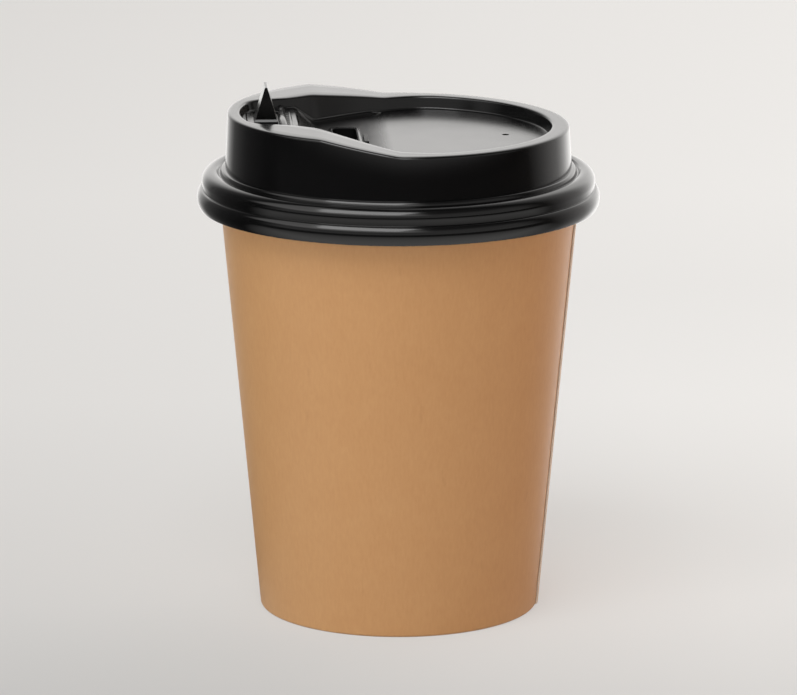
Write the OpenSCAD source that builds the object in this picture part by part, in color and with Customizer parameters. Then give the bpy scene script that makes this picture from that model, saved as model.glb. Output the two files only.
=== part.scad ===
/* [Cup] */
// Height from the floor to the top of the rolled rim
cup_h = 92.5; // [80:0.5:120]
// Outside diameter of the wall at the floor
foot_d = 58.3; // [52:0.1:64]
// Outside diameter of the wall level with the middle of the rolled rim
mouth_d = 75.2; // [70:0.1:90]
// Thickness of the wall paper
wall_t = 0.35; // [0.25:0.05:0.5]
// Radius of the rolled rim
curl_r = 1.5; // [1.2:0.1:2]
// Width over which the two ends of the wall blank lap
lap_w = 7; // [4:0.5:12]
// Direction of the outer ply's free edge, in degrees from +X
seam_az = -11; // [-170:1:170]
// Turn over which the outer ply comes back to the round, in degrees
lap_run = 12; // [8:1:20]

/* [Foot] */
// Thickness of the bottom's board
disc_t = 0.3; // [0.2:0.05:0.5]
// Height of the bottom's underside above the floor
disc_h = 7; // [5:0.5:12]
// Height of the wall paper folded in and up at the foot
hem_h = 6; // [3:0.5:11]
// Film of sealant between the plies of the foot
seal_t = 0.03; // [0.02:0.01:0.1]

/* [Lid skirt] */
// Thickness of the formed sheet
sheet_t = 0.45; // [0.3:0.05:0.6]
// Clearance between the bead and the rolled rim
rim_gap = 0.3; // [0.15:0.05:0.5]
// Clearance between the waist and the rolled rim as the lid comes off
snap_gap = 0.2; // [0.1:0.05:0.4]
// How far the skirt hangs below the top of the rolled rim
skirt_h = 6.9; // [5.5:0.1:9]
// Height of the plain flared part of the skirt
flare_h = 3.6; // [2:0.1:4.2]
// How far the lip stands out past the rolled rim
lip_out = 1.75; // [1:0.05:3]
// How far the crease stands out past the waist
crease_out = 0.35; // [0.2:0.05:0.5]
// Height of the step between the crease and the waist
crease_rise = 0.35; // [0.2:0.05:0.6]
// Height of the upright edge of the lip
lip_edge = 0.3; // [0.2:0.1:0.8]

/* [Lid crown] */
// From the outside of the rolled rim in to the foot of the wall
wall_in = 4.15; // [3.6:0.05:5]
// How much the wall leans in from its foot to its top
wall_lean = 0.5; // [0.2:0.1:2]
// Height of the high side above the rolled rim
high_h = 13.1; // [11:0.1:18]
// Height of the low side above the rolled rim
low_h = 10.2; // [8.5:0.1:11]
// Width of the flat on the low side
flat_w = 3.2; // [2:0.1:6]
// Width of the flat at the sip end
sip_w = 2.1; // [1.8:0.1:3]
// Rounding of the crown's outer edge
edge_r = 0.6; // [0.5:0.05:1.2]
// Length of the slope from the high side to the low side
slope_run = 16; // [10:0.5:22]
// How far before the well the slope starts
slope_back = 0.5; // [0:0.1:3]
// Rounding of the basin's upper edge
lip_r = 0.55; // [0.5:0.05:0.8]
// Rounding at the foot of the basin's wall
root_r = 0.4; // [0.3:0.05:0.6]
// Lean of the basin's wall in degrees
draft = 8; // [3:1:12]
// Rise of the shelf at the foot of the wall above the bead
shelf_up = 0.6; // [0.5:0.05:0.8]
// Depth of the groove between the bead and the shelf
groove_d = 0.7; // [0.5:0.05:0.8]
// Width of that groove's floor
groove_w = 0.4; // [0.2:0.05:0.6]

/* [Basin] */
// Height of the panel above the rolled rim
panel_h = 7.5; // [6.5:0.1:8]
// How far the well lies below the panel
well_drop = 0.6; // [0.3:0.1:1]
// Length of the well
well_len = 12; // [11.5:0.5:15]
// Run of the rise between the well and the panel
sill_run = 3; // [1:0.5:5]
// Height of the trough's floor above the rolled rim
trough_h = 11.1; // [10:0.1:11.6]
// Run of the drop from the trough into the well
drop_run = 4.2; // [3.5:0.1:5]
// Width of the trough at the tip of the tab
tip_w = 25.5; // [23.5:0.1:28]
// Width of the trough at the hinge
neck_w = 31; // [28:0.1:34]
// Length over which the trough widens into the low side
widen_run = 33; // [28:0.5:38]
// How far before the hinge the trough starts to widen
widen_back = 1.8; // [1:0.1:3]
// How quickly it widens: 1 is even, more is quicker near the hinge
widen_pow = 1.3; // [1:0.1:1.6]
// Rounding of the trough's corners at the sip end
corner_r = 3; // [2:0.1:4]
// Height of the ledge along the foot of the well's wall
ledge_h = 1; // [0.5:0.1:1.4]
// Width of that ledge
ledge_w = 0.8; // [0.5:0.1:1.2]
// Diameter of the vent
vent_d = 1.5; // [1:0.1:3]
// Distance of the vent from the axis
vent_x = 22.4; // [10:0.1:26]
// Distance of the vent to the side of the panel's middle
vent_y = 1; // [-3:0.1:3]

/* [Tab] */
// Length of the tab from its tip to its hinge
tab_len = 10.2; // [9:0.1:12]
// Width of the tab
tab_w = 17.4; // [14:0.1:18.4]
// Width of the fixed strip between the tab's tip and the sip end
strip_w = 2.1; // [1.9:0.1:3]
// Width of the cut round the tab
slit = 0.25; // [0.15:0.05:0.4]
// Radius of the rib across the trough
rib_r = 0.7; // [0.4:0.05:0.9]
// Distance of that rib from the hinge
rib_x = 2.9; // [2.5:0.1:3.2]
// Radius of the fold bead beside the hinge
fold_r = 0.2; // [0.1:0.05:0.25]
// Distance of that bead from the hinge
fold_x = 1.25; // [1.15:0.05:1.5]
// Spacing of the webs between the rib and the fold bead
web_pitch = 2.2; // [1.6:0.1:4]
// Width of a web
web_w = 0.5; // [0.3:0.1:1]
// Height of a web
web_h = 0.15; // [0.1:0.05:0.3]
// Width of the beads along the tab's edges
bead_w = 0.5; // [0.3:0.1:1]
// Height of those beads
bead_h = 0.35; // [0.2:0.05:0.6]
// Radius of the tab's corners
tab_r = 1.5; // [0.8:0.1:2.5]
// Height of the fin above the tab
fin_h = 7.6; // [5:0.1:9]
// Length of the fin's base along the trough
fin_w = 4.4; // [3.5:0.1:5]
// Width of the fin across the trough
fin_y = 6.6; // [4:0.1:9]
// Width of the fin's blunt edge
fin_edge = 0.5; // [0.3:0.1:1.2]
// Distance of the fin's middle from the hinge
fin_x = 6.4; // [5.8:0.05:7]
// Height of the upright side of the pad under the fin
pad_h = 0.45; // [0.2:0.05:1]
// How far the pad reaches past the fin
pad_out = 0.3; // [0.1:0.05:0.8]
// Height of the pad's sloped edge
pad_rise = 0.45; // [0.2:0.05:1]

/* [Socket] */
// Distance of the socket's middle from the hinge
socket_x = 10.2; // [10:0.1:10.8]
// Length of the socket's mouth along the trough
socket_w = 5; // [4.8:0.1:5.4]
// Width of the socket's mouth across the trough
socket_y = 18.8; // [12:0.2:21]
// Depth of the socket below its collar
socket_d = 3.9; // [3:0.1:5]
// Width of the collar
collar_w = 0.8; // [0.5:0.1:1]
// Height of the collar above the well
collar_h = 0.8; // [0.4:0.1:0.8]
// Corner radius of the socket's mouth
socket_r = 1.4; // [0.6:0.1:2]
// Length of the nib beside the socket
nib_y = 8.4; // [4:0.2:14]
// Thickness of the nib
nib_w = 1; // [0.6:0.1:1.4]
// Height of the nib above the well
nib_h = 0.5; // [0.2:0.1:0.8]
// Space between the nib and the collar
nib_gap = 0.4; // [0.2:0.1:1]

/* [Hidden] */
$fn = 96;
kraft = [0.69, 0.53, 0.39];
black = [0.07, 0.07, 0.08];

// Cup radii
curl_z = cup_h - curl_r;
lean = (mouth_d - foot_d) / 2 / curl_z;
lean_a = atan(lean);
function wall_r(z) = foot_d / 2 + lean * z;
curl_c = wall_r(curl_z) - wall_t + curl_r;
rim_r = curl_c + curl_r;
lap_a = lap_w / wall_r(cup_h / 2) * 180 / PI;
lap_cut = lap_run / 4;

// Lid levels, each measured from the top of the rolled rim
z_high = cup_h + high_h;
z_low = cup_h + low_h;
z_panel = cup_h + panel_h;
z_well = z_panel - well_drop;
z_trough = cup_h + trough_h;
z_lip = cup_h - skirt_h;
z_crease = z_lip + flare_h;
bead_r = curl_r + rim_gap + sheet_t;
z_crown = curl_z + bead_r + shelf_up;
foot_r = rim_r - wall_in;
top_r = foot_r - wall_lean;
panel_r = top_r - flat_w;
end_r = top_r - sip_w;
waist_r = rim_r + snap_gap + sheet_t;
z_waist = z_crease + crease_rise;
z_crest = curl_z + bead_r;

// Stations along X
tip_x = strip_w - end_r;
hinge_x = tip_x + tab_len;
hinge_z = z_trough - sheet_t / 2;
drop_x = hinge_x;
well_x = drop_x + drop_run;
sill_x = well_x + well_len;
panel_x = sill_x + sill_run;
slope_x = well_x - slope_back;
widen_x = hinge_x - widen_back;
open_x = widen_x + widen_run;

// Plan of the basin's upper edge
function blend(x, a, b) = min(1, max(0, (x - a) / (b - a)));
function trough_y(x) = neck_w / 2 + (tip_w - neck_w) / 2 * (x - hinge_x) / (tip_x - hinge_x);
function widen(x) = 1 - pow(1 - blend(x, widen_x, open_x), widen_pow);
function round_y(x) = sqrt(max(0, panel_r * panel_r - x * x));
function edge_y(x) = trough_y(x) + (round_y(x) - trough_y(x)) * widen(x);
corner_y = trough_y(-sqrt(end_r * end_r - tip_w * tip_w / 4));
corner_x = -sqrt(end_r * end_r - corner_y * corner_y);
side_x = corner_x + corner_r;
end_a = atan2(corner_y, corner_x) + corner_r / end_r * 180 / PI;
open_a = acos(open_x / panel_r);
side_p = [side_x, edge_y(side_x)];
end_p = end_r * [cos(end_a), sin(end_a)];
corner_p = [corner_x, corner_y];
function bend(u) = (1 - u) * (1 - u) * side_p + 2 * u * (1 - u) * corner_p + u * u * end_p;
half = concat(
    [for (i = [0:11]) let (a = open_a * i / 12) [panel_r * cos(a), panel_r * sin(a)]],
    [for (i = [0:19]) let (x = open_x + (side_x - open_x) * i / 19) [x, edge_y(x)]],
    [for (i = [1:3]) bend(i / 4)],
    [for (i = [0:4]) let (a = end_a + (180 - end_a) * i / 4) [end_r * cos(a), end_r * sin(a)]]
);
m = len(half);
n = 2 * m - 2;
loop = [for (i = [0:n - 1]) i < m ? half[i] : [half[n - i][0], -half[n - i][1]]];
function inward(i) = let (t = loop[(i + 1) % n] - loop[(i + n - 1) % n]) [-t[1], t[0]] / norm(t);

// Heights over the plan
function roof_z(x) = z_high + (z_low - z_high) * blend(x, slope_x, slope_x + slope_run);
function in_well(x) = blend(x, drop_x, well_x) * (1 - blend(x, sill_x, panel_x));
function floor_z(x) = z_trough + (z_well - z_trough) * blend(x, drop_x, well_x)
    + well_drop * blend(x, sill_x, panel_x);

// Rings of the crown's sheet, from the foot of its wall over the edge and down into the basin
function on_round(r) = [for (p = loop) r * p / norm(p)];
function inset(d, k = 0) = [for (i = [0:n - 1])
    loop[i] + (d + k * tan(draft) * (roof_z(loop[i][0]) - floor_z(loop[i][0]))) * inward(i)];
function at_level(ring, z) = [for (p = ring) [p[0], p[1], z]];
function at_roof(ring, dz) = [for (p = ring) [p[0], p[1], roof_z(p[0]) + dz]];
function at_floor(ring, dz, k = 0) = [for (p = ring)
    [p[0], p[1], floor_z(p[0]) + k * ledge_h * in_well(p[0]) + dz]];
part45 = 1 - cos(45);
root_d = lip_r + root_r;
ledge_run = sheet_t / 2;
under_r = root_r + sheet_t;
over = [
    at_level(on_round(foot_r), z_crown - sheet_t / 2),
    at_roof(on_round(top_r), -edge_r),
    at_roof(on_round(top_r - part45 * edge_r), -part45 * edge_r),
    at_roof(on_round(top_r - edge_r), 0),
    at_roof(inset(0), 0),
    at_roof(inset(sin(45) * lip_r), -part45 * lip_r),
    at_roof(inset(lip_r), -lip_r),
    at_floor(inset(lip_r, 1), root_r, 1),
    at_floor(inset(lip_r + part45 * root_r, 1), part45 * root_r, 1),
    at_floor(inset(root_d, 1), 0, 1),
    at_floor(inset(root_d + ledge_w, 1), 0, 1),
    at_floor(inset(root_d + ledge_w + ledge_run, 1), 0)
];
under = [
    at_level(on_round(foot_r - sheet_t), z_crown - sheet_t / 2),
    at_roof(on_round(top_r - sheet_t), -edge_r),
    at_roof(on_round(top_r - edge_r), -sheet_t),
    at_roof(inset(0), -sheet_t),
    at_roof(inset(lip_r - sheet_t), -lip_r),
    at_floor(inset(lip_r - sheet_t, 1), root_r, 1),
    at_floor(inset(root_d - cos(45) * under_r, 1), root_r - cos(45) * under_r, 1),
    at_floor(inset(root_d, 1), -sheet_t, 1),
    at_floor(inset(root_d + ledge_w - ledge_run, 1), -sheet_t, 1),
    at_floor(inset(root_d + ledge_w, 1), -sheet_t)
];
rings = concat([for (i = [len(under) - 1:-1:0]) under[i]], over);
function at(k, i) = k * n + i % n;
function skin(k) = [for (i = [0:n - 1]) each [
    [at(k, i), at(k + 1, i), at(k + 1, i + 1)],
    [at(k, i), at(k + 1, i + 1), at(k, i + 1)]]];
function deck(k) = concat(
    [[at(k, 0), at(k, n - 1), at(k, 1)]],
    [for (i = [1:m - 3]) each [
        [at(k, i), at(k, n - i), at(k, n - i - 1)],
        [at(k, i), at(k, n - i - 1), at(k, i + 1)]]],
    [[at(k, m - 2), at(k, m), at(k, m - 1)]]);
function turned(faces) = [for (f = faces) [f[0], f[2], f[1]]];

// A rectangle with rounded corners, centred
module pill(w, l, r) {
    square([w - 2 * r, l], center = true);
    square([w, l - 2 * r], center = true);
    for (x = [-1, 1], y = [-1, 1])
        translate([x * (w / 2 - r), y * (l / 2 - r)])
            circle(r);
}

// A rib across the trough between two values of y, half round
module rib(x, r, y0, y1) {
    translate([x, y1, z_trough - sheet_t / 2])
        rotate([90, 0, 0])
            linear_extrude(y1 - y0)
                intersection() {
                    circle(r + sheet_t / 2);
                    translate([-2 * r, 0])
                        square([4 * r, 2 * r]);
                }
}

// Rolled paper wall with its curled rim, its lap seam and the hem folded in round the bottom
module side_wall() color(kraft) {
    ply = disc_t + 2 * seal_t;
    rotate_extrude() {
        polygon([
            [wall_r(0), 0],
            [wall_r(curl_z), curl_z],
            [wall_r(curl_z) - wall_t, curl_z],
            [wall_r(wall_t) - wall_t, wall_t],
            [wall_r(wall_t) - wall_t - ply, wall_t],
            [wall_r(hem_h) - wall_t - ply, hem_h],
            [wall_r(hem_h) - 2 * wall_t - ply, hem_h],
            [wall_r(0) - 2 * wall_t - ply, 0]
        ]);
        translate([curl_c, curl_z])
            difference() {
                circle(curl_r);
                circle(curl_r - wall_t);
            }
    }
    lap();
}

// The outer ply of the lap, thinned to nothing where the sheet comes back to the round
module lap() {
    top = curl_z - curl_r - 0.1;
    difference() {
        rotate([0, 0, seam_az])
            rotate_extrude(angle = lap_a + lap_run)
                polygon([
                    [wall_r(0) - wall_t / 2, 0],
                    [wall_r(0) + wall_t, 0],
                    [wall_r(top) + wall_t, top],
                    [wall_r(top) - wall_t / 2, top]
                ]);
        rotate([0, 0, seam_az + lap_a + lap_run])
            translate([wall_r(0), 0, 0])
                rotate([0, lean_a, 0])
                    rotate([0, 0, lap_cut])
                        translate([0, -cup_h / 2, -cup_h / 2])
                            cube([cup_h / 2, cup_h, 2 * cup_h]);
    }
}

// Bottom disc with its edge turned down into the hem
module bottom_disc() color(kraft) {
    out = wall_t + seal_t;
    foot = wall_t + seal_t;
    bend = 2 * disc_t;
    top = disc_h + disc_t;
    rotate_extrude()
        polygon([
            [0, disc_h],
            [wall_r(disc_h - disc_t) - out - disc_t - bend, disc_h],
            [wall_r(disc_h - disc_t) - out - disc_t, disc_h - bend],
            [wall_r(foot) - out - disc_t, foot],
            [wall_r(foot) - out, foot],
            [wall_r(top - bend) - out, top - bend],
            [wall_r(top) - out - bend, top],
            [0, top]
        ]);
}

// Skirt that snaps over the rolled rim: lip, crease, waist, bead, groove and shelf
module skirt() {
    t = sheet_t;
    lip_r1 = rim_r + lip_out;
    crease_r = waist_r + crease_out;
    groove_a = 125;
    groove_r = curl_c + bead_r * cos(groove_a);
    groove_z = z_crest - groove_d;
    outside = concat(
        [[lip_r1 - lip_edge / 6, z_lip], [lip_r1, z_lip + lip_edge], [crease_r, z_crease], [waist_r, z_waist]],
        [for (a = [-10:11.5:105]) [curl_c + bead_r * cos(a), curl_z + bead_r * sin(a)]],
        [[groove_r, groove_z], [groove_r - groove_w / 2, groove_z], [groove_r - groove_w, z_crest]],
        [[foot_r + t, z_crown - shelf_up / 2], [foot_r + t / 2, z_crown], [foot_r - 2 * t, z_crown]]
    );
    inside = concat(
        [[lip_r1 - t - lip_edge / 6, z_lip], [lip_r1 - t, z_lip + lip_edge], [crease_r - t, z_crease], [waist_r - t, z_waist]],
        [for (a = [0:11.5:105]) [curl_c + (bead_r - t) * cos(a), curl_z + (bead_r - t) * sin(a)]],
        [[groove_r, groove_z - t], [groove_r - groove_w, groove_z - t], [groove_r - groove_w - t, z_crest - t]],
        [[foot_r, z_crown - t], [foot_r - 2 * t, z_crown - t]]
    );
    rotate_extrude()
        polygon(concat(outside, [for (i = [len(inside) - 1:-1:0]) inside[i]]));
}

// Formed sheet of the wall, the sloping flat and the basin
module crown() {
    last = len(rings) - 1;
    polyhedron(
        points = [for (ring = rings) each ring],
        faces = concat(deck(0), [for (k = [0:last - 1]) each skin(k)], turned(deck(last))),
        convexity = 8
    );
}

// Black lid of formed sheet: snap skirt, high and low rim, trough, well with a socket, and panel
module lid() color(black) {
    mid_x = hinge_x + socket_x;
    half_tab = tab_w / 2 + slit;
    rib_at = hinge_x - rib_x;
    difference() {
        union() {
            crown();
            skirt();
            translate([mid_x, 0, z_well - sheet_t / 2])
                linear_extrude(collar_h + sheet_t / 2)
                    pill(socket_w + 2 * collar_w, socket_y + 2 * collar_w, socket_r + collar_w);
            translate([mid_x, 0, z_well + collar_h - socket_d - sheet_t])
                linear_extrude(socket_d)
                    pill(socket_w + 2 * sheet_t, socket_y + 2 * sheet_t, socket_r + sheet_t);
            for (s = [-1, 1])
                rib(rib_at, rib_r, s > 0 ? half_tab : root_d - trough_y(rib_at),
                    s > 0 ? trough_y(rib_at) - root_d : -half_tab);
            translate([mid_x + socket_w / 2 + collar_w + nib_gap + nib_w / 2, 0, z_well - sheet_t / 2])
                linear_extrude(nib_h + sheet_t / 2)
                    square([nib_w, nib_y], center = true);
        }
        translate([mid_x, 0, z_well + collar_h - socket_d])
            linear_extrude(socket_d + 1)
                pill(socket_w, socket_y, socket_r);
        translate([vent_x, vent_y, z_panel - 2 * sheet_t])
            cylinder(d = vent_d, h = 3 * sheet_t);
        tab_cut();
    }
}

// The cut that frees the tab from the trough's floor
module tab_cut() {
    depth = 4 * sheet_t;
    translate([0, 0, z_trough - depth])
        linear_extrude(depth + rib_r)
            tab_plan(slit);
}

// Plan of the tab, grown by a margin
module tab_plan(grow) {
    r = tab_r;
    x0 = tip_x - grow;
    w = tab_w + 2 * grow;
    translate([x0 + r, -w / 2])
        square([hinge_x + (grow > 0 ? sheet_t / 2 + grow : 0) - x0 - r, w]);
    translate([x0, r - w / 2])
        square([2 * r, w - 2 * r]);
    for (s = [-1, 1])
        translate([x0 + r, s * (w / 2 - r)])
            circle(r);
}

// Lift-back tab with its edge beads, cross ribs, pad and hollow wedge fin
module lift_tab() color(black) {
    mid_x = hinge_x - fin_x;
    base = fin_w / 2;
    foot = pad_h + pad_rise;
    pull = (base - fin_edge / 2) / (fin_h - foot);
    wall = sheet_t * sqrt(1 + pull * pull);
    webs = floor((tab_w / 2 - bead_w - web_w) / web_pitch);
    difference() {
        union() {
            translate([0, 0, z_trough - sheet_t])
                linear_extrude(sheet_t)
                    tab_plan(0);
            translate([hinge_x, tab_w / 2, hinge_z])
                rotate([90, 0, 0])
                    cylinder(d = sheet_t, h = tab_w);
            for (s = [-1, 1])
                translate([tip_x + tab_r, s * (tab_w - bead_w) / 2 - bead_w / 2, z_trough - sheet_t / 2])
                    cube([tab_len - rib_x - tab_r, bead_w, sheet_t / 2 + bead_h]);
            rib(hinge_x - rib_x, rib_r, -tab_w / 2, tab_w / 2);
            rib(hinge_x - fold_x, fold_r, -tab_w / 2, tab_w / 2);
            for (i = [-webs:webs])
                translate([hinge_x - rib_x, i * web_pitch - web_w / 2, z_trough - sheet_t / 2])
                    cube([rib_x - fold_x, web_w, sheet_t / 2 + web_h]);
            translate([mid_x, 0, z_trough])
                intersection() {
                    rotate([90, 0, 0])
                        translate([0, 0, -fin_y])
                            linear_extrude(2 * fin_y)
                                wedge(base, fin_edge / 2);
                    rotate([90, 0, 90])
                        translate([0, 0, -fin_w])
                            linear_extrude(2 * fin_w)
                                wedge(fin_y / 2, fin_y / 2);
                }
        }
        translate([mid_x, fin_y / 2 - sheet_t, z_trough])
            rotate([90, 0, 0])
                linear_extrude(fin_y - 2 * sheet_t)
                    polygon([
                        [wall - base, -2 * sheet_t], [base - wall, -2 * sheet_t],
                        [base - wall, foot], [0, foot + (base - wall) / pull], [wall - base, foot]
                    ]);
    }
}

// Outline of the fin on its pad, seen from one side
module wedge(low, high) {
    foot = pad_h + pad_rise;
    polygon([
        [-low - pad_out, -sheet_t / 2], [low + pad_out, -sheet_t / 2], [low + pad_out, pad_h],
        [low, foot], [high, fin_h], [-high, fin_h], [-low, foot], [-low - pad_out, pad_h]
    ]);
}

side_wall();
bottom_disc();
lid();
lift_tab();
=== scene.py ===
import math
import bpy
import bmesh
from mathutils import Matrix, Vector


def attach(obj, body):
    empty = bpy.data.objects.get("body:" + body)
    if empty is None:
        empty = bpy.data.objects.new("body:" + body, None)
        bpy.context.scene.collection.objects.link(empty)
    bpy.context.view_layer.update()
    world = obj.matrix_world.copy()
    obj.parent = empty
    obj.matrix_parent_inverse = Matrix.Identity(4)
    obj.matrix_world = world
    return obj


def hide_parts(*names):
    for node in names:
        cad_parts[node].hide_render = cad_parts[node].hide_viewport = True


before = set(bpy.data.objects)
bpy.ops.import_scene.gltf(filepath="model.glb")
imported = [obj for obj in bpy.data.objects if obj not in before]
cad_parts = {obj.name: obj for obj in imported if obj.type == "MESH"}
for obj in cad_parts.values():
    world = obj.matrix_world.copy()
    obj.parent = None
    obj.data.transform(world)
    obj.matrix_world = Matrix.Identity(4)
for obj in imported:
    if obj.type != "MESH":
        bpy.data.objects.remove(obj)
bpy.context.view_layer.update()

# The table: a plain pale sheet that the cup stands on, with painted shade that makes it
# darker at the front and the left, and painted light at the near right. A glow that only
# the camera sees lifts its shadows. The lid's gloss sees it as a glow of its own, a painted
# reflection, bright behind the cup, and in front only near the foot. A heading is in
# degrees, from straight behind the cup round by its right.
MM = 0.001
TABLE_R = 2.4
TABLE_TINT = (0.94, 0.94, 0.93, 1)
TABLE_GLOW = 1.06
ROOM_WHITE = (1.0, 0.985, 0.965, 1)
BEHIND_HEADING, RIGHT_HEADING = 9, 50


def material(name):
    made = bpy.data.materials.new(name)
    made.use_nodes = True
    made.node_tree.nodes.clear()
    return made


def node_group(name, *outputs):
    made = bpy.data.node_groups.new(name, "ShaderNodeTree")
    for output in outputs:
        made.interface.new_socket(output, in_out="OUTPUT", socket_type="NodeSocketFloat")
    return made


def add(tree, kind, **settings):
    made = tree.nodes.new(kind)
    for key, value in settings.items():
        setattr(made, key, value)
    return made


def join(tree, value, socket):
    if isinstance(value, bpy.types.NodeSocket):
        tree.links.new(value, socket)
    else:
        socket.default_value = value


def feed(tree, node, **values):
    for key, value in values.items():
        join(tree, value, node.inputs[key.replace("_", " ")])
    return node


def output_of(tree, kind, **values):
    return feed(tree, add(tree, kind), **values).outputs[0]


def axes(tree, vector):
    return feed(tree, add(tree, "ShaderNodeSeparateXYZ"), Vector=vector).outputs


def steps(tree, value, *stops):
    made = feed(tree, add(tree, "ShaderNodeValToRGB"), Fac=value)
    bar = made.color_ramp.elements
    while len(bar) < len(stops):
        bar.new(1.0)
    for stop, (place, shade) in zip(bar, stops):
        stop.position = place
        stop.color = shade if isinstance(shade, tuple) else (shade, shade, shade, 1)
    return made.outputs["Color"]


def spread(tree, value, low, high, start=0.0, end=1.0):
    made = feed(tree, add(tree, "ShaderNodeMapRange"), Value=value)
    for key, limit in zip(("From Min", "From Max", "To Min", "To Max"), (low, high, start, end)):
        made.inputs[key].default_value = limit
    return made.outputs[0]


def between(tree, mask, none, full):
    return spread(tree, mask, 0.0, 1.0, none, full)


def math_node(tree, operation, value, *others):
    for other in others:
        made = add(tree, "ShaderNodeMath", operation=operation)
        join(tree, value, made.inputs[0])
        join(tree, other, made.inputs[1])
        value = made.outputs[0]
    return value


def vector_node(tree, operation, *vectors):
    made = add(tree, "ShaderNodeVectorMath", operation=operation)
    for vector, socket in zip(vectors, made.inputs):
        join(tree, vector, socket)
    return made.outputs["Value" if operation in ("LENGTH", "DOT_PRODUCT") else "Vector"]


def heads_to(tree, vector, heading):
    turn = math.radians(heading)
    level_way = vector_node(tree, "NORMALIZE", vector_node(tree, "MULTIPLY", vector, (1, 1, 0)))
    return vector_node(tree, "DOT_PRODUCT", level_way, (math.sin(turn), math.cos(turn), 0))


def mix_colour(tree, kind, factor, first, second):
    made = add(tree, "ShaderNodeMix", data_type="RGBA", blend_type=kind)
    return feed(tree, made, Factor=factor, A=first, B=second).outputs["Result"]


def mix_shader(tree, *values):
    made = add(tree, "ShaderNodeMixShader")
    for value, socket in zip(values, made.inputs):
        join(tree, value, socket)
    return made.outputs[0]


def mesh_from(bm, name):
    made = bpy.data.meshes.new(name)
    bm.to_mesh(made)
    bm.free()
    return made


def piece(name, mesh):
    made = bpy.data.objects.new(name, mesh)
    bpy.context.scene.collection.objects.link(made)
    return made


bright_side = node_group("bright_side", "Level")
bright_side.interface.new_socket("Direction", in_out="INPUT", socket_type="NodeSocketVector")
g = bright_side
direction = add(g, "NodeGroupInput").outputs["Direction"]
behind = heads_to(g, direction, BEHIND_HEADING)
behind = steps(g, behind, (0.0, 0.01), (0.40, 0.05), (0.70, 0.15), (0.82, 0.5), (0.93, 1.0))
right = steps(g, heads_to(g, direction, RIGHT_HEADING), (0.78, 0.0), (0.99, 0.33))
feed(g, add(g, "NodeGroupOutput"), Level=math_node(g, "ADD", behind, right))

bm = bmesh.new()
bmesh.ops.create_circle(bm, cap_ends=True, segments=96, radius=TABLE_R)
table_mesh = mesh_from(bm, "table")
piece("table", table_mesh)

table_paint = material("table_paint")
t = table_paint.node_tree
spot = add(t, "ShaderNodeTexCoord").outputs["Object"]
at = axes(t, spot)
rays = add(t, "ShaderNodeLightPath").outputs
# Painted shade: the table's colour darkens towards the front.
depth = spread(t, at["Y"], -0.25, 0.75)
depth = steps(t, depth, (0.18, 0.70), (0.25, 0.80), (0.43, 0.945), (0.67, 1.02), (0.97, 1.02))
# Painted light: brighter at the near right, where the cup's shadow falls.
near_right_light = math_node(t, "MULTIPLY", spread(t, at["Y"], 0.3, -0.05), spread(t, at["X"], -0.03, 0.07))
# Painted shade and light: darker to the left, lighter to the right.
side_shading = spread(t, at["X"], -0.2, 0.2, 0.88, 1.12)
side_shading = math_node(t, "MULTIPLY", side_shading, between(t, near_right_light, 1.0, 1.15))
shaded_paint = mix_colour(t, "MULTIPLY", 1.0, TABLE_TINT, math_node(t, "MULTIPLY", depth, side_shading))
lit = output_of(t, "ShaderNodeBsdfDiffuse", Color=shaded_paint)
# Painted light: a glow that only the camera sees lifts the table's shadows.
glow_level = between(t, rays["Is Camera Ray"], 0.0, TABLE_GLOW)
glow = output_of(t, "ShaderNodeEmission", Color=shaded_paint, Strength=glow_level)
pale = mix_shader(t, 0.5, lit, glow)
# Painted reflection: for glossy rays the table is a glow of its own, not its lit colour.
bright = feed(t, add(t, "ShaderNodeGroup", node_tree=bright_side), Direction=spot).outputs["Level"]
near_foot = vector_node(t, "LENGTH", spot)
near_foot = steps(t, near_foot, (0.12, 1.0), (0.30, 0.62), (0.44, 0.45), (0.56, 0.03))
near_front = math_node(t, "MULTIPLY", spread(t, at["Y"], 0.03, -0.06), near_foot)
mirror_level = math_node(t, "ADD", math_node(t, "MULTIPLY", bright, 1.5), near_front)
mirrored = output_of(t, "ShaderNodeEmission", Color=ROOM_WHITE, Strength=mirror_level)
table_seen = mix_shader(t, rays["Is Glossy Ray"], pale, mirrored)
feed(t, add(t, "ShaderNodeOutputMaterial"), Surface=table_seen)
table_mesh.materials.append(table_paint)

# The rolled side wall: one blank of kraft paper, lapped and sealed down one side, where
# the lap's edge carries a dark line of painted shadow beside a pale band, the cut edge's own
# colour widened with painted sheen. Its top is curled outward into the rim, and its foot
# is folded in round the bottom's skirt.
CUP_H = 92.5
FOOT_R = 29.15
MOUTH_R = 37.6
WALL_T = 0.35
CURL_R = 1.5
CURL_Z = CUP_H - CURL_R
CURL_C = MOUTH_R - WALL_T + CURL_R
CURL_END = -150
HEM_H = 6.0
HEM_GAP = 0.36
HEM_HEIGHTS = (HEM_H, 4.0, 2.0, 1.0)
HEM_SHARE = 0.4
FOLD_Z = 0.5
FOOT_GAP = 0.01
WALL_HEIGHTS = (1.2, 2.5, 4, 7, 12, 18, 25, 32, 40, 48, 56, 64, 72, 79, 84, 88)
WALL_TURNS = 310
SEAM_AZ = -11.0
LAP = 12.1
LAP_RUN = 8.0
LAP_GAP = 0.02
LAP_FADE = 4.0
LAP_TOP = 88.0
FIBRE_DEPTH = 0.04
KRAFT_LIGHT, KRAFT_DARK = (0.535, 0.290, 0.122, 1), (0.520, 0.276, 0.113, 1)
CUT_LIGHT, CUT_DARK = (0.86, 0.78, 0.68, 1), (0.80, 0.70, 0.58, 1)
FLECK_TINT = (0.55, 0.45, 0.36, 1)
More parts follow.
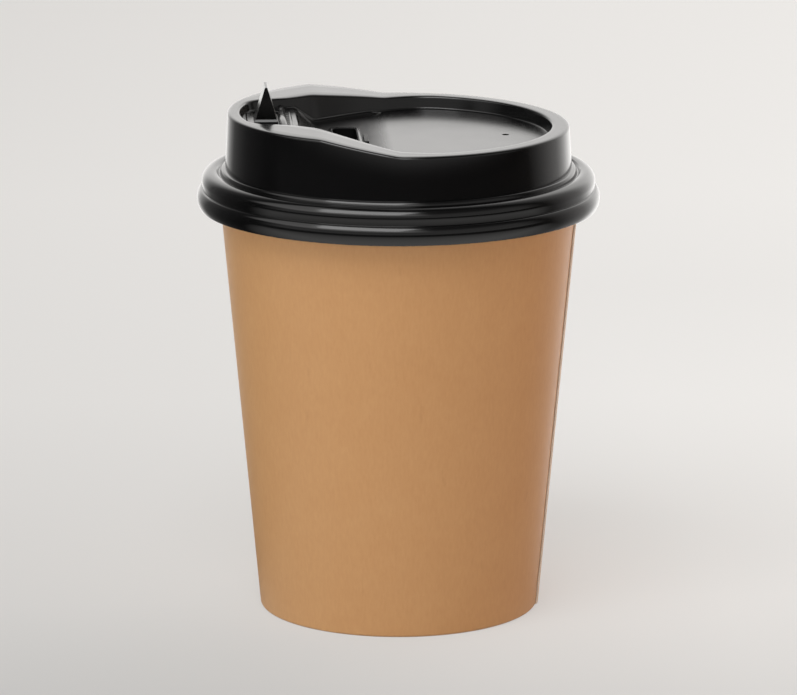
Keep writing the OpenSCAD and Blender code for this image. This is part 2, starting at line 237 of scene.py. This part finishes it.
# The lap's colours: a dark line of painted shadow, and a pale band that is the cut edge's own colour
# widened with painted sheen.
LAP_SHADOW, LAP_EDGE_AND_SHEEN = (0.20, 0.11, 0.06, 1), (0.88, 0.80, 0.70, 1)


def wall_r(z):
    return FOOT_R + (MOUTH_R - FOOT_R) * z / CURL_Z


def share(x, a, b):
    return min(1.0, max(0.0, (x - a) / (b - a)))


def arc(cx, cz, r, a0, a1, parts):
    turn = [math.radians(a0 + (a1 - a0) * i / parts) for i in range(parts + 1)]
    return [(cx + r * math.cos(a), cz + r * math.sin(a)) for a in turn]


def spin_line(points, turns, start=0.0, sweep=360.0):
    made = bmesh.new()
    verts = [made.verts.new((x * MM, 0, z * MM)) for x, z in points]
    edges = [made.edges.new(pair) for pair in zip(verts, verts[1:])]
    bmesh.ops.rotate(made, verts=verts, matrix=Matrix.Rotation(math.radians(start), 3, "Z"))
    bmesh.ops.spin(made, geom=verts + edges, axis=(0, 0, 1), angle=math.radians(sweep),
                   steps=turns, use_merge=sweep == 360)
    made.verts.index_update()
    return made


def thicken(made, name, thickness, offset):
    ply = made.modifiers.new(name, "SOLIDIFY")
    ply.thickness = thickness * MM
    ply.offset = offset
    return ply


fold = (WALL_T + HEM_GAP) / 2
mid = WALL_T / 2
line = [(wall_r(z) - mid - 2 * fold, z) for z in HEM_HEIGHTS]
line += arc(wall_r(FOLD_Z) - mid - fold, fold + mid + FOOT_GAP, fold, 180, 360, 10)
wall_start = len(line) - 2
line += [(wall_r(z) - mid, z) for z in WALL_HEIGHTS]
line += arc(CURL_C, CURL_Z, CURL_R - mid, 180, CURL_END, 32)
sweep = 360 + LAP
bm = spin_line(line, WALL_TURNS, SEAM_AZ, sweep)
for v in bm.verts:
    turn, k = divmod(v.index, len(line))
    over = 1 - share(turn * sweep / WALL_TURNS, LAP, LAP + LAP_RUN)
    over = over * over * (3 - 2 * over)
    rise = share(v.co.z / MM, CURL_Z - CURL_R, CURL_Z - CURL_R - LAP_FADE)
    out = Vector((v.co.x, v.co.y, 0)).normalized()
    v.co += out * over * rise * (WALL_T + LAP_GAP) * MM * (1 if k >= wall_start else HEM_SHARE)
bmesh.ops.recalc_face_normals(bm, faces=bm.faces)
wall_mesh = mesh_from(bm, "rolled_wall")
wall_mesh.shade_smooth()
wall = piece("rolled_wall", wall_mesh)
ply = thicken(wall, "paper", WALL_T, 0)
ply.use_even_offset = True
ply.material_offset_rim = 1

fibres = node_group("paper_fibres", "Cloud", "Fibre", "Fleck")
g = fibres
spot = add(g, "ShaderNodeTexCoord").outputs["Object"]
upward = output_of(g, "ShaderNodeMapping", Vector=spot, Scale=(1.0, 1.0, 0.28))
cloud = output_of(g, "ShaderNodeTexNoise", Vector=spot, Scale=130.0, Detail=6.0, Roughness=0.65)
strand = output_of(g, "ShaderNodeTexNoise", Vector=upward, Scale=1700.0, Detail=3.0, Roughness=0.6)
fleck = output_of(g, "ShaderNodeTexNoise", Vector=upward, Scale=620.0, Detail=2.0, Roughness=0.5)
fleck = steps(g, fleck, (0.68, 0.0), (0.78, 1.0))
feed(g, add(g, "NodeGroupOutput"), Cloud=cloud, Fibre=strand, Fleck=fleck)


def lap_lines(t, colour):
    spot = add(t, "ShaderNodeTexCoord").outputs
    at = axes(t, spot["Object"])
    outward = vector_node(t, "DOT_PRODUCT", spot["Object"], spot["Normal"])
    outside = math_node(t, "GREATER_THAN", outward, 0.0)
    outside = math_node(t, "MULTIPLY", outside, spread(t, at["Z"], LAP_TOP * MM, (LAP_TOP - 2) * MM))
    past = math_node(t, "ARCTAN2", at["Y"], at["X"])
    past = spread(t, past, math.radians(SEAM_AZ - 1), math.radians(SEAM_AZ + 5))
    # Painted shadow along the lap's step, then the pale cut edge widened with painted sheen.
    shadow = steps(t, past, (0.08, 0.0), (0.13, 0.6), (0.155, 0.6), (0.165, 0.0))
    edge_and_sheen = steps(t, past, (0.165, 0.0), (0.175, 0.8), (0.3, 0.6), (0.5, 0.0))
    for band, shade in ((shadow, LAP_SHADOW), (edge_and_sheen, LAP_EDGE_AND_SHEEN)):
        colour = mix_colour(t, "MIX", math_node(t, "MULTIPLY", band, outside), colour, shade)
    return colour


def kraft(name, light, dark, rough, grain, lapped=False):
    made = material(name)
    t = made.node_tree
    paper = add(t, "ShaderNodeGroup", node_tree=fibres).outputs
    colour = steps(t, paper["Cloud"], (0.33, dark), (0.68, light))
    strands = steps(t, paper["Fibre"], (0.3, 0.0), (0.7, 1.0))
    colour = mix_colour(t, "SOFT_LIGHT", 0.055, colour, strands)
    flecks = math_node(t, "MULTIPLY", paper["Fleck"], 0.12)
    colour = mix_colour(t, "MULTIPLY", flecks, colour, FLECK_TINT)
    if lapped:
        colour = lap_lines(t, colour)
    relief = output_of(t, "ShaderNodeBump", Strength=grain, Distance=FIBRE_DEPTH * MM,
                       Height=paper["Fibre"])
    skin = output_of(t, "ShaderNodeBsdfPrincipled", Base_Color=colour, Roughness=rough, Normal=relief)
    feed(t, add(t, "ShaderNodeOutputMaterial"), Surface=skin)
    return made


wall_mesh.materials.append(kraft("kraft_wall", KRAFT_LIGHT, KRAFT_DARK, 0.44, 0.2, lapped=True))
wall_mesh.materials.append(kraft("cut_edge", CUT_LIGHT, CUT_DARK, 0.8, 0.5))
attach(wall, "cup")
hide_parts("side_wall")

# The bottom: a disc of the same board with its edge turned down and sealed between the
# wall and the folded hem, so that the cup stands on the hem alone.
DISC_T = 0.3
DISC_H = 7.0
SEAL = 0.03
BEND_R = 0.95
BEND_Z = DISC_H + DISC_T / 2 - BEND_R
SKIRT_HEIGHTS = (WALL_T + SEAL + 0.05, 2.0, 4.0, 5.6)
DISC_RADII = (24.0, 18.0, 11.0, 5.0, 0.0)
BOARD_LIGHT, BOARD_DARK = (0.52, 0.31, 0.15, 1), (0.48, 0.275, 0.13, 1)
skirt_mid = WALL_T + SEAL + DISC_T / 2
line = [(wall_r(z) - skirt_mid, z) for z in SKIRT_HEIGHTS]
line += arc(wall_r(BEND_Z) - skirt_mid - BEND_R, BEND_Z, BEND_R, 0, 90, 8)[1:]
line += [(x, DISC_H + DISC_T / 2) for x in DISC_RADII]
bm = spin_line(line, 144)
bmesh.ops.remove_doubles(bm, verts=bm.verts, dist=0.01 * MM)
bmesh.ops.recalc_face_normals(bm, faces=bm.faces)
disc_mesh = mesh_from(bm, "bottom_board")
disc_mesh.shade_smooth()
disc = piece("bottom_board", disc_mesh)
thicken(disc, "board", DISC_T, 0)
disc_mesh.materials.append(kraft("kraft_bottom", BOARD_LIGHT, BOARD_DARK, 0.45, 0.2))
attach(disc, "cup")
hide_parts("bottom_disc")

# The lid: one sheet of black plastic formed over a mould, which leaves the floor of the
# well duller. From the lip it runs up the skirt, over the bead that snaps on the rim, up
# the wall, and down into the basin.
SHEET = 0.45
RIM_R = CURL_C + CURL_R
LIP_R = RIM_R + 1.75
Z_LIP = CUP_H - 6.9
SKIRT_R = 3.4
SKIRT_Z = Z_LIP + 1.958
WAIST_R = RIM_R + 0.2 + SHEET
Z_WAIST = Z_LIP + 3.95
SHOULDER_R = 2.2
SHOULDER_X, SHOULDER_Z = WAIST_R - 1.136, Z_WAIST - 1.70
BEAD_R = CURL_R + 0.3 + SHEET
CREST = CURL_Z + BEAD_R
GROOVE_R = CURL_C + BEAD_R * math.cos(math.radians(125))
GROOVE_Z = CREST - 0.7
WALL_FOOT_R = RIM_R - 4.15
WALL_TOP_R = WALL_FOOT_R - 0.5
PANEL_R = WALL_TOP_R - 3.2
END_R = WALL_TOP_R - 2.1
Z_HIGH, Z_LOW = CUP_H + 13.1, CUP_H + 10.2
Z_TROUGH, Z_PANEL, Z_WELL = CUP_H + 11.1, CUP_H + 7.5, CUP_H + 6.9
TIP_X = 2.1 - END_R
HINGE_X = TIP_X + 10.2
WELL_X = HINGE_X + 4.2
SILL_X, PANEL_X = WELL_X + 12, WELL_X + 15
SLOPE_X, SLOPE_RUN = WELL_X - 0.5, 16
WIDEN_X, OPEN_X = HINGE_X - 1.8, HINGE_X + 31.2
HINGE_Y, TIP_Y, CORNER_RUN = 15.5, 12.75, 3
LEDGE_H = 1.0
DRAFT = 8
EDGE_R, LIP_ROUND, ROOT_R = 0.6, 0.55, 0.4
SOCKET_X, SOCKET_W, SOCKET_Y, SOCKET_D, SOCKET_R = HINGE_X + 10.2, 5.0, 18.8, 3.9, 1.4
FLOOR_ROUND, CUP_ROUND = 0.4, 0.6
COLLAR_W, COLLAR_H, COLLAR_ROUND = 0.8, 0.8, 0.25
MOUTH_W, MOUTH_D, MOUTH_ROUND = 0.2, 0.2, 0.19
NIB_W, NIB_Y, NIB_H, NIB_GAP, NIB_ROUND, NIB_EDGE = 1.0, 8.4, 0.5, 0.4, 0.3, 0.15
RIB_X, RIB_R, RIB_UNDER, RIB_INTO = HINGE_X - 2.9, 0.7, 0.4, 0.1
SLIT, TAB_W, TAB_R = 0.25, 17.4, 1.5
VENT_X, VENT_Y, VENT_R = 22.4, 1.0, 0.75
BLACK = (0.0022, 0.0022, 0.0024, 1)
SHEET_IOR = 1.52
CROWN_ROUGH, SKIRT_ROUGH, WELL_ROUGHER = 0.19, 0.13, 0.22
RIPPLE_DEPTH = 0.06


def soft(x, a, b, r=0.18):
    u = (x - a) / (b - a)
    u = max(-r, min(1 + r, u))
    if u < r:
        return (u + r) ** 2 / (4 * r)
    if u > 1 - r:
        return 1 - (1 + r - u) ** 2 / (4 * r)
    return u


def curve(a, b, c, parts):
    return [(1 - u) ** 2 * a + 2 * u * (1 - u) * b + u * u * c for u in parts]


def on_circle(r, angles):
    return [r * Vector((math.cos(a), math.sin(a))) for a in angles]


def trough_y(x):
    return HINGE_Y + (TIP_Y - HINGE_Y) * (x - HINGE_X) / (TIP_X - HINGE_X)


def edge_y(x):
    widen = 1 - (1 - share(x, WIDEN_X, OPEN_X)) ** 1.3
    return trough_y(x) + (math.sqrt(max(0, PANEL_R ** 2 - x * x)) - trough_y(x)) * widen


def roof_z(x):
    return Z_HIGH + (Z_LOW - Z_HIGH) * soft(x, SLOPE_X, SLOPE_X + SLOPE_RUN, 0.06)


def floor_z(x):
    drop = (Z_WELL - Z_TROUGH) * soft(x, HINGE_X, WELL_X, 0.12)
    return Z_TROUGH + drop + (Z_PANEL - Z_WELL) * soft(x, SILL_X, PANEL_X)


def ledge_z(x):
    return LEDGE_H * soft(x, HINGE_X, WELL_X) * (1 - soft(x, SILL_X, PANEL_X))


# The basin's outline seen from above, one half and its mirror image: round the panel,
# along the side that narrows to the trough, round the corner and round the end.
corner_y = trough_y(-math.sqrt(END_R ** 2 - TIP_Y ** 2))
corner = Vector((-math.sqrt(END_R ** 2 - corner_y ** 2), corner_y))
side = Vector((corner.x + CORNER_RUN, edge_y(corner.x + CORNER_RUN)))
end_a = math.atan2(corner.y, corner.x) + CORNER_RUN / END_R
round_end = on_circle(END_R, [end_a + (math.pi - end_a) * i / 16 for i in range(17)])
open_a = math.acos(OPEN_X / PANEL_R)
half = on_circle(PANEL_R, [open_a * i / 60 for i in range(60)])
half += [Vector((x, edge_y(x))) for x in (OPEN_X + (side.x - OPEN_X) * i / 90 for i in range(91))]
half += curve(side, corner, round_end[0], [i / 10 for i in range(1, 10)]) + round_end
plan = half + [Vector((p.x, -p.y)) for p in half[-2:0:-1]]
count = len(plan)
inward = []
for i, p in enumerate(plan):
    run = (plan[(i + 1) % count] - plan[i - 1]).normalized()
    inward.append(Vector((-run.y, run.x)))


def round_ring(r, z):
    return [(p.normalized() * r).to_3d() + Vector((0, 0, z)) for p in plan]


def roof_ring(r, dz):
    flat = [p.normalized() * r for p in plan]
    return [Vector((p.x, p.y, roof_z(p.x) + dz)) for p in flat]


def basin_ring(d, dz, on_floor=False, lean=0.0, ledge=0.0):
    made = []
    for p, n in zip(plan, inward):
        q = p + n * (d + lean * math.tan(math.radians(DRAFT)) * (roof_z(p.x) - floor_z(p.x)))
        level = floor_z(q.x) + ledge * ledge_z(q.x) if on_floor else roof_z(q.x)
        made.append(Vector((q.x, q.y, level + dz)))
    return made


def rounded(corners):
    made = []
    for i, (x, z, r) in enumerate(corners):
        here = Vector((x, z))
        if not r:
            made.append(here)
            continue
        back = here + (Vector(corners[i - 1][:2]) - here).normalized() * r
        on = here + (Vector(corners[i + 1][:2]) - here).normalized() * r
        made += curve(back, here, on, (0, 0.25, 0.5, 0.75, 1))
    return [tuple(p) for p in made]


# The sheet is a row of rings from the lip to the basin's floor: a flat disc is spun, and
# each of its rings is then laid in place. A corner of the section is a radius, a height and
# how much it is rounded.
profile = arc(LIP_R - SKIRT_R, SKIRT_Z, SKIRT_R, -35, 14, 12)
profile += arc(SHOULDER_X, SHOULDER_Z, SHOULDER_R, 18, 46, 8)
profile += rounded([(WAIST_R + 0.26, Z_WAIST - 0.07, 0), (WAIST_R, Z_WAIST + 0.02, 0.07),
                    (WAIST_R + 0.066, CURL_Z - 0.39, 0)])
profile += arc(CURL_C, CURL_Z, BEAD_R, -4, 102, 18)
profile += rounded([(GROOVE_R + 0.52, CREST - 0.12, 0), (GROOVE_R, GROOVE_Z, 0.16),
                    (GROOVE_R - 0.2, GROOVE_Z, 0.09), (GROOVE_R - 0.4, CREST - 0.1, 0.1),
                    (GROOVE_R - 0.62, CREST + 0.36, 0.22),
                    (WALL_FOOT_R + 0.03, CREST + 0.5, 0), (WALL_FOOT_R, CREST + 1.0, 0)])
rings = [round_ring(r, z) for r, z in profile]
quarter = [(math.cos(math.radians(a)), math.sin(math.radians(a))) for a in (0, 22.5, 45, 67.5, 90)]
rings += [roof_ring(WALL_TOP_R - EDGE_R * (1 - c), -EDGE_R * (1 - s)) for c, s in quarter]
flat_rings = [roof_ring(WALL_TOP_R - EDGE_R, 0), basin_ring(0, 0)]
for u in (0.25, 0.5, 0.75):
    row = [a.lerp(b, u) for a, b in zip(*flat_rings)]
    rings.append([Vector((p.x, p.y, roof_z(p.x))) for p in row])
rings += [basin_ring(LIP_ROUND * s, -LIP_ROUND * (1 - c)) for c, s in quarter]
rings += [basin_ring(LIP_ROUND + ROOT_R * (1 - c), ROOT_R * (1 - s), True, 1, 1) for c, s in quarter]
step = LIP_ROUND + ROOT_R
for out, height in ((0.55, 1), (0.70, 0.97), (0.82, 0.8), (0.96, 0.2), (1.06, 0.03), (1.2, 0)):
    rings.append(basin_ring(step + out, 0, True, 1, height))
bm = spin_line([(k + 1, 0) for k in range(len(rings))], count)
for v in bm.verts:
    turn, k = divmod(v.index, len(rings))
    v.co = rings[k][turn] * MM
last = [v for v in bm.verts if v.index % len(rings) == len(rings) - 1]
for i in range(1, len(half) - 2):
    bm.faces.new((last[i], last[i + 1], last[count - i - 1], last[count - i]))
bm.faces.new((last[0], last[1], last[count - 1]))
bm.faces.new((last[len(half) - 2], last[len(half) - 1], last[len(half)]))
bmesh.ops.recalc_face_normals(bm, faces=bm.faces)
bm.faces.ensure_lookup_table()
if bm.faces[-1].normal.z < 0:
    bmesh.ops.reverse_faces(bm, faces=bm.faces)
sheet = piece("formed_sheet", mesh_from(bm, "formed_sheet"))
thicken(sheet, "gauge", SHEET, -1)
tools = []


def block(bm, x0, x1, y0, y1, z0, z1):
    size = Vector((x1 - x0, y1 - y0, z1 - z0)) * MM
    middle = Vector((x0 + x1, y0 + y1, z0 + z1)) / 2 * MM
    placed = Matrix.Translation(middle) @ Matrix.Diagonal((*size, 1))
    return bmesh.ops.create_cube(bm, size=1, matrix=placed)["verts"]


def rod(bm, r, length, segments, matrix):
    made = bmesh.ops.create_cone(bm, cap_ends=True, segments=segments, radius1=r * MM, radius2=r * MM,
                                 depth=length * MM, matrix=matrix)
    return made["verts"]


def round_off(bm, verts, r, segments, chosen):
    edges = [e for e in {e for v in verts for e in v.link_edges} if chosen(*(v.co for v in e.verts))]
    bmesh.ops.bevel(bm, geom=edges, offset=r * MM, offset_type="OFFSET", affect="EDGES",
                    segments=segments, profile=0.5, material=-1)


def upright(a, b):
    return abs(a.z - b.z) > 1e-5


def level_at(z):
    return lambda a, b: max(abs(a.z - z * MM), abs(b.z - z * MM)) < 1e-6


def pill(bm, wider, z0, z1):
    before = set(bm.verts)
    half_w, half_y = SOCKET_W / 2 + wider, SOCKET_Y / 2 + wider
    verts = block(bm, SOCKET_X - half_w, SOCKET_X + half_w, -half_y, half_y, z0, z1)
    round_off(bm, verts, SOCKET_R + wider, 10, upright)
    return [v for v in bm.verts if v not in before]


def tool(name, bm, operation):
    bmesh.ops.recalc_face_normals(bm, faces=bm.faces)
    made = piece(name, mesh_from(bm, name))
    use = sheet.modifiers.new(name, "BOOLEAN")
    use.operation = operation
    use.object = made
    use.solver = "EXACT"
    tools.append(made)


collar_z = Z_WELL + COLLAR_H
under_z = Z_WELL - SHEET / 2
socket_z = collar_z - SOCKET_D
bm = bmesh.new()
round_off(bm, pill(bm, COLLAR_W, under_z, collar_z), COLLAR_ROUND, 3, level_at(collar_z))
before = set(bm.verts)
nib_x = SOCKET_X + SOCKET_W / 2 + COLLAR_W + NIB_GAP
verts = block(bm, nib_x, nib_x + NIB_W, -NIB_Y / 2, NIB_Y / 2, under_z, Z_WELL + NIB_H)
round_off(bm, verts, NIB_ROUND, 4, upright)
round_off(bm, [v for v in bm.verts if v not in before], NIB_EDGE, 3, level_at(Z_WELL + NIB_H))
for side_of in (-1, 1):
    near, far = side_of * (TAB_W / 2 - RIB_UNDER), side_of * (trough_y(RIB_X) - step + RIB_INTO)
    middle = Vector((RIB_X, (near + far) / 2, Z_TROUGH - SHEET / 2)) * MM
    lying = Matrix.Translation(middle) @ Matrix.Rotation(math.pi / 2, 4, "X")
    for v in rod(bm, RIB_R + SHEET / 2, abs(far - near), 40, lying):
        v.co.z = max(v.co.z, (Z_TROUGH - SHEET * 0.7) * MM)
bmesh.ops.remove_doubles(bm, verts=bm.verts, dist=0.001 * MM)
tool("collar_nib_ribs", bm, "UNION")
bm = bmesh.new()
round_off(bm, pill(bm, SHEET, socket_z - SHEET, Z_WELL + 0.2), CUP_ROUND, 4, level_at(socket_z - SHEET))
tool("socket_cup", bm, "UNION")
bm = bmesh.new()
round_off(bm, pill(bm, 0, socket_z, collar_z - MOUTH_D), FLOOR_ROUND, 4, level_at(socket_z))
tool("socket_hollow", bm, "DIFFERENCE")
bm = bmesh.new()
verts = pill(bm, MOUTH_W, collar_z - MOUTH_D, collar_z + 1)
round_off(bm, verts, MOUTH_ROUND, 3, level_at(collar_z - MOUTH_D))
tool("socket_mouth", bm, "DIFFERENCE")
bm = bmesh.new()
slit_end, slit_side = HINGE_X + SHEET / 2 + SLIT, TAB_W / 2 + SLIT
verts = block(bm, TIP_X - SLIT, slit_end, -slit_side, slit_side, Z_TROUGH - 2, Z_TROUGH + 1)
round_off(bm, verts, TAB_R, 8, lambda a, b: upright(a, b) and a.x < (TIP_X - SLIT / 2) * MM)
rod(bm, VENT_R, 2, 32, Matrix.Translation(Vector((VENT_X, VENT_Y, Z_PANEL)) * MM))
tool("tab_cut_and_vent", bm, "DIFFERENCE")
lid_mesh = bpy.data.meshes.new_from_object(sheet.evaluated_get(bpy.context.evaluated_depsgraph_get()))
lid_mesh.name = "formed_lid"
for done in (*tools, sheet):
    bpy.data.objects.remove(done)
lid_mesh.shade_smooth()
lid_mesh.set_sharp_from_angle(angle=math.radians(32))
lid = piece("formed_lid", lid_mesh)

sheet_finish = node_group("sheet_finish", "Haze", "Ripple")
g = sheet_finish
spot = add(g, "ShaderNodeTexCoord").outputs["Object"]
haze = output_of(g, "ShaderNodeTexNoise", Vector=spot, Scale=140.0, Detail=4.0)
ripple = output_of(g, "ShaderNodeTexNoise", Vector=spot, Scale=260.0, Detail=2.0)
feed(g, add(g, "NodeGroupOutput"), Haze=haze, Ripple=ripple)


def gloss(name, whole_lid=False):
    made = material(name)
    t = made.node_tree
    finish = add(t, "ShaderNodeGroup", node_tree=sheet_finish).outputs
    relief = output_of(t, "ShaderNodeBump", Strength=0.03, Distance=RIPPLE_DEPTH * MM,
                       Height=finish["Ripple"])
    skin = add(t, "ShaderNodeBsdfPrincipled")
    rough = CROWN_ROUGH
    if whole_lid:
        spot = add(t, "ShaderNodeTexCoord").outputs["Object"]
        at = axes(t, spot)
        radius = vector_node(t, "LENGTH", vector_node(t, "MULTIPLY", spot, (1, 1, 0)))
        rough = spread(t, radius, (WALL_TOP_R - 1.0) * MM, (WALL_TOP_R - 0.4) * MM,
                       CROWN_ROUGH, SKIRT_ROUGH)
        in_well = math_node(t, "MULTIPLY", spread(t, at["Z"], (Z_PANEL + 0.2) * MM, (Z_PANEL + 0.05) * MM),
                            spread(t, radius, (PANEL_R + 1.1) * MM, (PANEL_R + 0.6) * MM),
                            spread(t, at["X"], (PANEL_X + 0.4) * MM, (SILL_X - 1.0) * MM))
        rough = math_node(t, "ADD", rough, between(t, in_well, 0.0, WELL_ROUGHER))
        feed(t, skin, Specular_IOR_Level=between(t, in_well, 0.5, 0.2))
    rough = math_node(t, "MULTIPLY", rough, spread(t, finish["Haze"], 0.3, 0.7, 0.95, 1.05))
    feed(t, skin, Base_Color=BLACK, IOR=SHEET_IOR, Roughness=rough, Normal=relief)
    feed(t, add(t, "ShaderNodeOutputMaterial"), Surface=skin.outputs[0])
    return made


lid_mesh.materials.append(gloss("lid_black", whole_lid=True))
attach(lid, "lid")
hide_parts("lid")

# The lift-back tab: one sheet with the lid, cut free from the trough's floor on three
# sides and held at its fold line. Its hollow wedge fin is there to pull it by, and plugs
# the socket.
TAB_EDGE = 0.12
tab_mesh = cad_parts["lift_tab"].data.copy()
tab_mesh.materials.clear()
bm = bmesh.new()
bm.from_mesh(tab_mesh)
bmesh.ops.remove_doubles(bm, verts=bm.verts, dist=0.002 * MM)
bmesh.ops.dissolve_limit(bm, angle_limit=math.radians(1), verts=bm.verts, edges=bm.edges)
bm.to_mesh(tab_mesh)
bm.free()
tab = piece("folding_tab", tab_mesh)
rounding = tab.modifiers.new("rounding", "BEVEL")
rounding.width = TAB_EDGE * MM
rounding.segments = 2
rounding.limit_method = "ANGLE"
rounding.angle_limit = math.radians(35)
tab_mesh.materials.append(gloss("tab_black"))
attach(tab, "tab")
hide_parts("lift_tab")

# The studio: a long lens at the photograph's angle, one big soft box high at the front
# left, and fill from the room, stronger low down and at the back right. The gloss sees a
# bright wall behind the cup, a dim one in front, and the glow of the box.
LENS, SENSOR = 265.27, 36
CAMERA_AT, CAMERA_AIM = (-0.0628, -1.1984, 0.3370), (0, 0, 0.0549)
BOX_AT, BOX_AIM, BOX_SIZE = (-0.30, -0.57, 0.86), (0, 0, 0.09), (0.8, 0.55)
BOX_POWER, BOX_ON_PAPER = 4.8, 0.42
BOX_HEADING = 226
FILL_LEFT, FILL_MIDDLE, FILL_RIGHT = (1.0, 1.0, 0.98, 1), (0.81, 0.78, 0.75, 1), (0.52, 0.36, 0.25, 1)


def aimed(name, data, place, towards):
    made = bpy.data.objects.new(name, data)
    made.location = place
    made.rotation_euler = (Vector(towards) - Vector(place)).to_track_quat("-Z", "Y").to_euler()
    bpy.context.scene.collection.objects.link(made)
    return made


scene = bpy.context.scene
scene.view_settings.view_transform = "Standard"
lens = bpy.data.cameras.new("lens")
lens.lens = LENS
lens.sensor_width = SENSOR
lens.clip_end = 20
scene.camera = aimed("lens", lens, CAMERA_AT, CAMERA_AIM)
soft_box = bpy.data.lights.new("soft_box", "AREA")
soft_box.shape = "RECTANGLE"
soft_box.size, soft_box.size_y = BOX_SIZE
soft_box.energy = BOX_POWER
soft_box.diffuse_factor = BOX_ON_PAPER
aimed("soft_box", soft_box, BOX_AT, BOX_AIM)

scene.world = bpy.data.worlds.new("room")
scene.world.use_nodes = True
w = scene.world.node_tree
w.nodes.clear()
direction = add(w, "ShaderNodeTexCoord").outputs["Generated"]
at = axes(w, direction)
rays = add(w, "ShaderNodeLightPath").outputs
bright = feed(w, add(w, "ShaderNodeGroup", node_tree=bright_side), Direction=direction).outputs["Level"]
wall_behind = math_node(w, "MULTIPLY", bright, spread(w, at["Z"], 0.75, 0.97, 1.5, 0.6))
front_height = steps(w, at["Z"], (0.02, 0.0), (0.07, 0.6), (0.15, 0.42), (0.45, 0.42), (0.7, 0.08))
room_front = math_node(w, "MULTIPLY", spread(w, at["Y"], 0.0, -0.3), front_height)
box_width = steps(w, heads_to(w, direction, BOX_HEADING), (0.45, 0.0), (0.64, 1.0))
box_height = steps(w, at["Z"], (0.37, 0.0), (0.46, 1.0), (0.90, 1.0), (0.97, 0.0))
box_glow = math_node(w, "MULTIPLY", box_width, box_height, 1.3)
mirror_level = math_node(w, "ADD", wall_behind, room_front, box_glow)
mirrored = output_of(w, "ShaderNodeBackground", Color=ROOM_WHITE, Strength=mirror_level)
fill_colour = spread(w, at["X"], -1, 1)
fill_colour = steps(w, fill_colour, (0.0, FILL_LEFT), (0.5, FILL_MIDDLE), (1.0, FILL_RIGHT))
low_bright = steps(w, at["Z"], (0.0, 4.6), (0.12, 3.4), (0.3, 1.0), (0.5, 0.3), (1.0, 0.15))
back_right = math_node(w, "MULTIPLY", spread(w, at["Y"], -0.1, 0.6), spread(w, at["X"], 0.1, 0.8))
fill_level = math_node(w, "MULTIPLY", low_bright, between(w, back_right, 1.0, 3.4))
fill = output_of(w, "ShaderNodeBackground", Color=fill_colour, Strength=fill_level)
feed(w, add(w, "ShaderNodeOutputWorld"), Surface=mix_shader(w, rays["Is Glossy Ray"], fill, mirrored))
